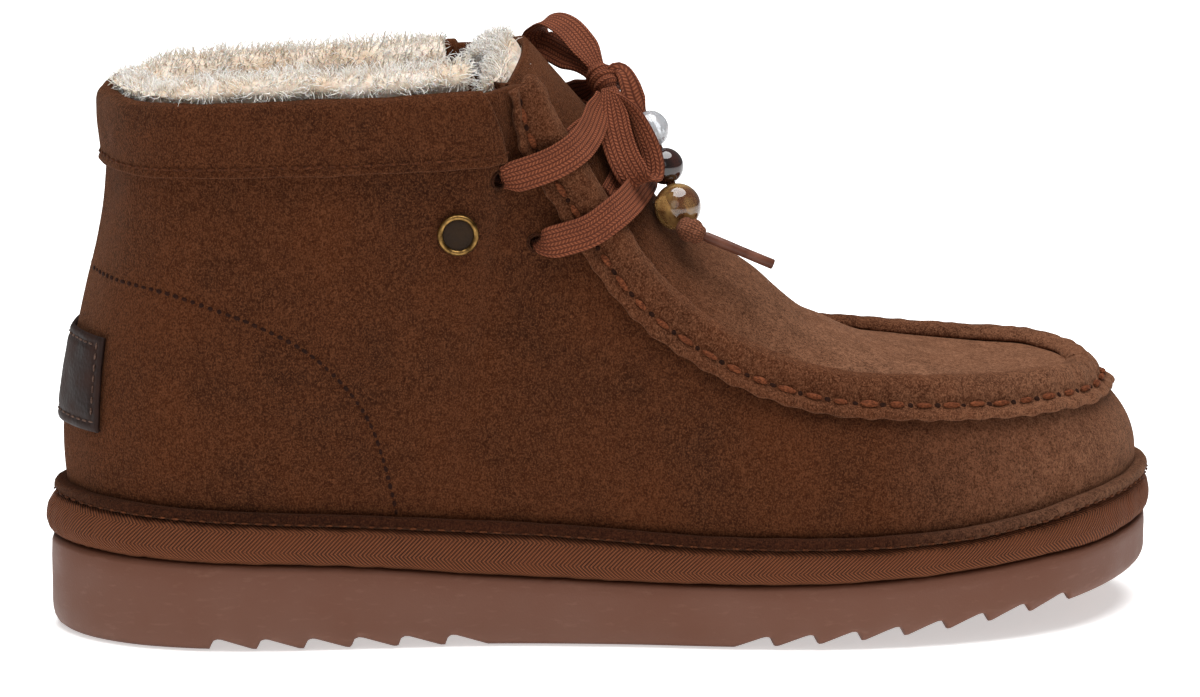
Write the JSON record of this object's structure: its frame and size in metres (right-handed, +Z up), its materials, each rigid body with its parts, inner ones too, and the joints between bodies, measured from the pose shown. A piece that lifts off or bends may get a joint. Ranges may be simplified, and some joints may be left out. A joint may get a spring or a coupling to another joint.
{
  "type": "sheepskin boot",
  "caption": "Ankle boot in brown suede with a raised apron seam, wool collar, beaded flat lace and a notched platform sole.",
  "frame": {"origin": "middle of the sole's length and width, on the floor", "axes": "+X to the toe, -Y to the outer side of the right foot, +Z up"},
  "size_m": [0.2719, 0.0998, 0.1448],
  "materials": {
    "suede": "brushed suede",
    "sole": "matt moulded",
    "tape": "herringbone weave",
    "wool": "fleece",
    "leather": "smooth dark",
    "brass": "aged",
    "lace": "flat braid",
    "bead_clear": "clear facets",
    "bead_dark": "dark facets",
    "bead_amber": "smoky facets"
  },
  "bodies": {
    "root": {"outsole": "sole", "midsole": "tape", "insole": "wool", "upper": "suede", "tongue": "suede", "seam_strip": "suede", "apron_rim": "suede", "cuff": "suede", "fur_collar": "wool", "fur_tongue": "wool", "heel_patch": "leather", "side_button": "brass", "lace_bar_lower": "lace", "lace_bar_near": "lace", "lace_bar_far": "lace", "lace_crossing": "lace", "bow_knot": "lace", "bow_loop_near": "lace", "bow_loop_far": "lace", "lace_end_near": "lace", "lace_end_far": "lace", "bead_near_clear": "bead_clear", "bead_near_dark": "bead_dark", "bead_near_amber": "bead_amber", "bead_far_clear": "bead_clear", "bead_far_dark": "bead_dark", "bead_far_amber": "bead_amber", "lace_tip_near": "lace", "lace_tip_far": "lace"}
  },
  "joints": []
}
